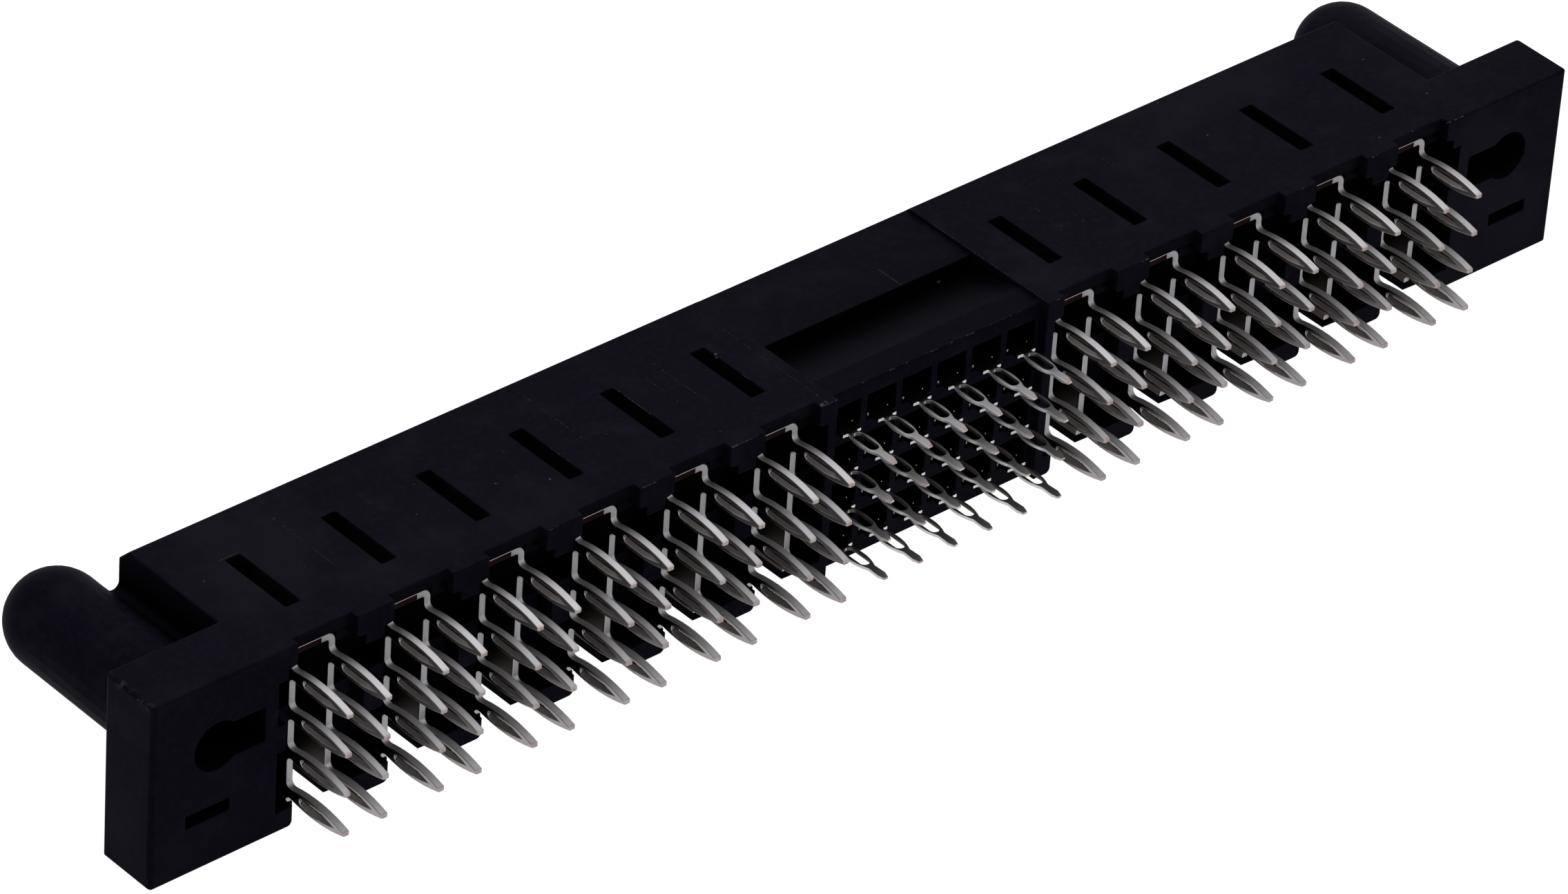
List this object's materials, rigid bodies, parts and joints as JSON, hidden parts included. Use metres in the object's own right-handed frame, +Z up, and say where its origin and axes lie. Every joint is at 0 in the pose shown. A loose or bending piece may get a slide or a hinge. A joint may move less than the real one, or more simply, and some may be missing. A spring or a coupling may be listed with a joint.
{
  "type": "multi-pin connector",
  "caption": "Long straight press-fit board connector with two blocks of power contacts, a field of signal contacts between them, end flanges and round-nosed guide posts.",
  "frame": {"origin": "on the underside, midway along the connector, and midway in depth between the tips of the power tails and the tips of the guide posts", "axes": "+X along the row of contacts, towards the shorter power block; +Y away from the circuit board, along the guide posts; +Z up through the top with the slots"},
  "size_m": [0.1016, 0.02, 0.0117],
  "materials": {
    "housing_plastic": "matte glass-filled thermoplastic with fine scuffs and mould witness lines",
    "power_contact_metal": "tin-plated copper alloy sheet with bare coppery sheared edges",
    "signal_contact_metal": "tin-plated copper alloy sheet with bare coppery cut tips"
  },
  "bodies": {
    "root": {"housing": "housing_plastic", "power_contact_1": "power_contact_metal", "power_contact_2": "power_contact_metal", "power_contact_3": "power_contact_metal", "power_contact_4": "power_contact_metal", "power_contact_5": "power_contact_metal", "power_contact_6": "power_contact_metal", "power_contact_7": "power_contact_metal", "power_contact_8": "power_contact_metal", "power_contact_9": "power_contact_metal", "power_contact_10": "power_contact_metal", "power_contact_11": "power_contact_metal", "signal_contact_a1": "signal_contact_metal", "signal_contact_a2": "signal_contact_metal", "signal_contact_a3": "signal_contact_metal", "signal_contact_a4": "signal_contact_metal", "signal_contact_a5": "signal_contact_metal", "signal_contact_a6": "signal_contact_metal", "signal_contact_b1": "signal_contact_metal", "signal_contact_b2": "signal_contact_metal", "signal_contact_b3": "signal_contact_metal", "signal_contact_b4": "signal_contact_metal", "signal_contact_b5": "signal_contact_metal", "signal_contact_b6": "signal_contact_metal", "signal_contact_c1": "signal_contact_metal", "signal_contact_c2": "signal_contact_metal", "signal_contact_c3": "signal_contact_metal", "signal_contact_c4": "signal_contact_metal", "signal_contact_c5": "signal_contact_metal", "signal_contact_c6": "signal_contact_metal", "signal_contact_d1": "signal_contact_metal", "signal_contact_d2": "signal_contact_metal", "signal_contact_d3": "signal_contact_metal", "signal_contact_d4": "signal_contact_metal", "signal_contact_d5": "signal_contact_metal", "signal_contact_d6": "signal_contact_metal"}
  },
  "joints": []
}
